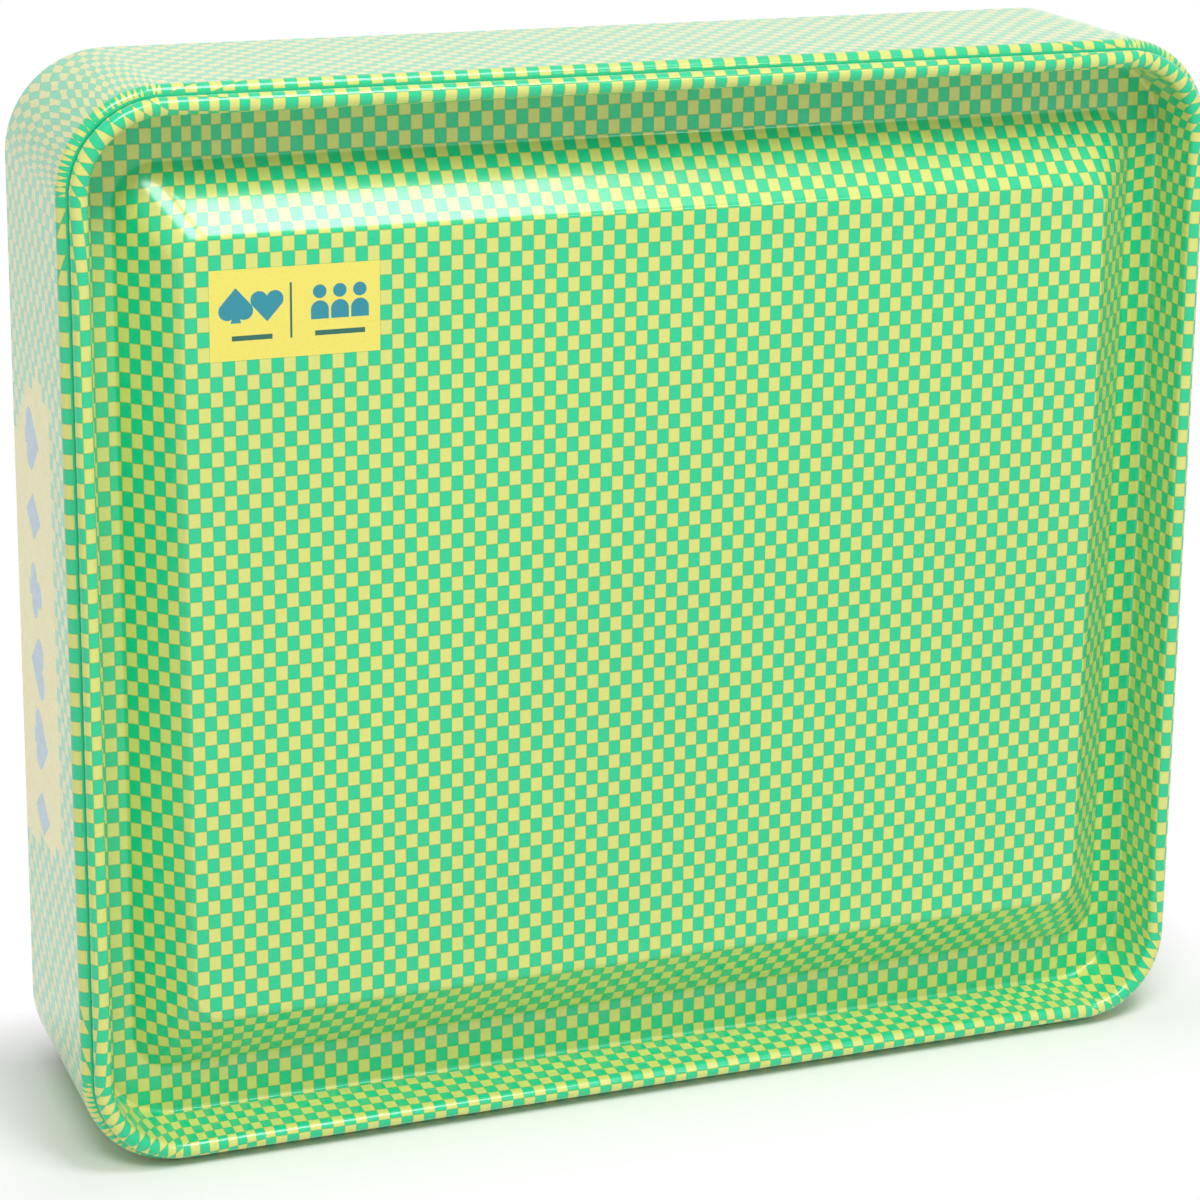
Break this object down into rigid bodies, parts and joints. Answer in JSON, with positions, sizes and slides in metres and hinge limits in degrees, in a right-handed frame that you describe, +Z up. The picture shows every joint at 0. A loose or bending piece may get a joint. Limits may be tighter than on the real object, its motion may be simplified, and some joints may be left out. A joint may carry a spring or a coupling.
{
  "type": "hinged game tin",
  "caption": "Flat rectangular tinplate box with rounded corners, curled rims, a recessed embossed lid hinged on a short side, and a card tray inside.",
  "frame": {"origin": "centre of the bounding box on the long edge that the tin stands on", "axes": "+X along the long side towards the hinge, -Y out of the lid's face, +Z up"},
  "size_m": [0.171, 0.04, 0.153],
  "materials": {
    "printed_wall": "gloss lacquer over green and yellow print",
    "printed_base": "gloss lacquer over plain green print",
    "printed_lid": "gloss lacquer over green and yellow print",
    "hinge_wire": "plain steel wire",
    "tray": "satin formed sheet",
    "cards": "smooth card",
    "paper_band": "matt paper",
    "booklet": "smooth paper"
  },
  "bodies": {
    "tin": {"body_wall": "printed_wall", "base_panel": "printed_base", "hinge_pin_upper": "hinge_wire", "hinge_pin_lower": "hinge_wire", "insert_tray": "tray", "deck_left": "cards", "deck_right": "cards", "mini_deck_left": "cards", "mini_deck_right": "cards", "band_left": "paper_band", "band_right": "paper_band", "mini_band_left": "paper_band", "mini_band_right": "paper_band", "rule_booklet": "booklet"},
    "lid": {"lid_panel": "printed_lid"}
  },
  "joints": [
    {"name": "lid_hinge", "type": "hinge", "parent": "tin", "child": "lid", "pos_m": [0.08463, -0.0145, 0.0765], "axis": [0, 0, 1], "range_deg": [0, 115]}
  ]
}
